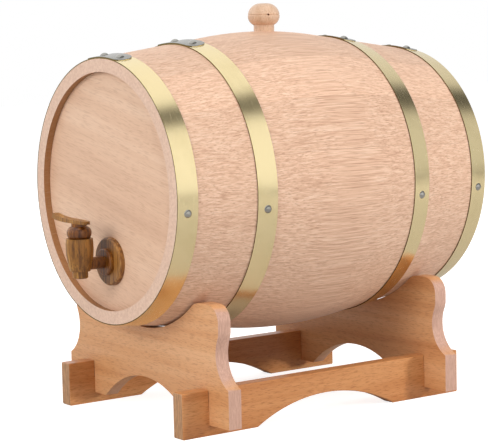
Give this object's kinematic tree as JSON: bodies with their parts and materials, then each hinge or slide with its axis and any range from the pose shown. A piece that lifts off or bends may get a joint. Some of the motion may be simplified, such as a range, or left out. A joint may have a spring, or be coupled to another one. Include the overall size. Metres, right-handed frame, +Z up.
{
  "type": "cask liquor dispenser",
  "caption": "Small oak cask lying on an open wooden stand, with brass hoops, a turned bung on top and a wooden tap in the front head.",
  "frame": {"origin": "middle of the footprint box on the floor", "axes": "+Z up, cask axis along Y, tap towards -Y, +X to the right of a person who faces the tap"},
  "size_m": [0.262, 0.3662, 0.3525],
  "materials": {
    "stave_oak": "planed oak, satin",
    "head_oak": "planed oak, satin",
    "dowel_beech": "plain",
    "hoop_brass": "rolled strip, bright",
    "rivet_steel": "plated, bright",
    "nail_steel": "plated, bright",
    "bung_beech": "turned, varnished",
    "tap_wood": "turned, dark stain, varnished",
    "cork": "cork, plain",
    "stand_beech": "planed, varnished"
  },
  "bodies": {
    "stand": {"front_cradle": "stand_beech", "rear_cradle": "stand_beech", "left_runner": "stand_beech", "right_runner": "stand_beech"},
    "cask": {"stave_01": "stave_oak", "stave_02": "stave_oak", "stave_03": "stave_oak", "stave_04": "stave_oak", "stave_05": "stave_oak", "stave_06": "stave_oak", "stave_07": "stave_oak", "stave_08": "stave_oak", "stave_09": "stave_oak", "stave_10": "stave_oak", "stave_11": "stave_oak", "stave_12": "stave_oak", "stave_13": "stave_oak", "stave_14": "stave_oak", "stave_15": "stave_oak", "stave_16": "stave_oak", "stave_17": "stave_oak", "front_head_lower_board": "head_oak", "front_head_middle_board": "head_oak", "front_head_upper_board": "head_oak", "rear_head_lower_board": "head_oak", "rear_head_middle_board": "head_oak", "rear_head_upper_board": "head_oak", "front_head_dowels": "dowel_beech", "rear_head_dowels": "dowel_beech", "front_chime_hoop": "hoop_brass", "front_quarter_hoop": "hoop_brass", "rear_quarter_hoop": "hoop_brass", "rear_chime_hoop": "hoop_brass", "front_chime_hoop_rivets": "rivet_steel", "front_quarter_hoop_rivets": "rivet_steel", "rear_quarter_hoop_rivets": "rivet_steel", "rear_chime_hoop_rivets": "rivet_steel", "front_chime_hoop_nails": "nail_steel", "front_quarter_hoop_nails": "nail_steel", "rear_quarter_hoop_nails": "nail_steel", "rear_chime_hoop_nails": "nail_steel", "tap_body": "tap_wood", "tap_cork": "cork", "tap_stem": "tap_wood", "tap_rosette": "tap_wood"},
    "bung": {"bung": "bung_beech"},
    "tap key": {"tap_key": "tap_wood", "tap_lever": "tap_wood"}
  },
  "joints": [
    {"name": "cask_lift", "type": "slide", "parent": "stand", "child": "cask", "axis": [0, 0, 1], "range_m": [0, 0.06]},
    {"name": "bung_pull", "type": "slide", "parent": "cask", "child": "bung", "axis": [0, 0, 1], "range_m": [0, 0.045]},
    {"name": "tap_turn", "type": "hinge", "parent": "cask", "child": "tap key", "pos_m": [0, -0.17147, 0.15], "axis": [0, 0, 1], "range_deg": [-40, 220]}
  ]
}
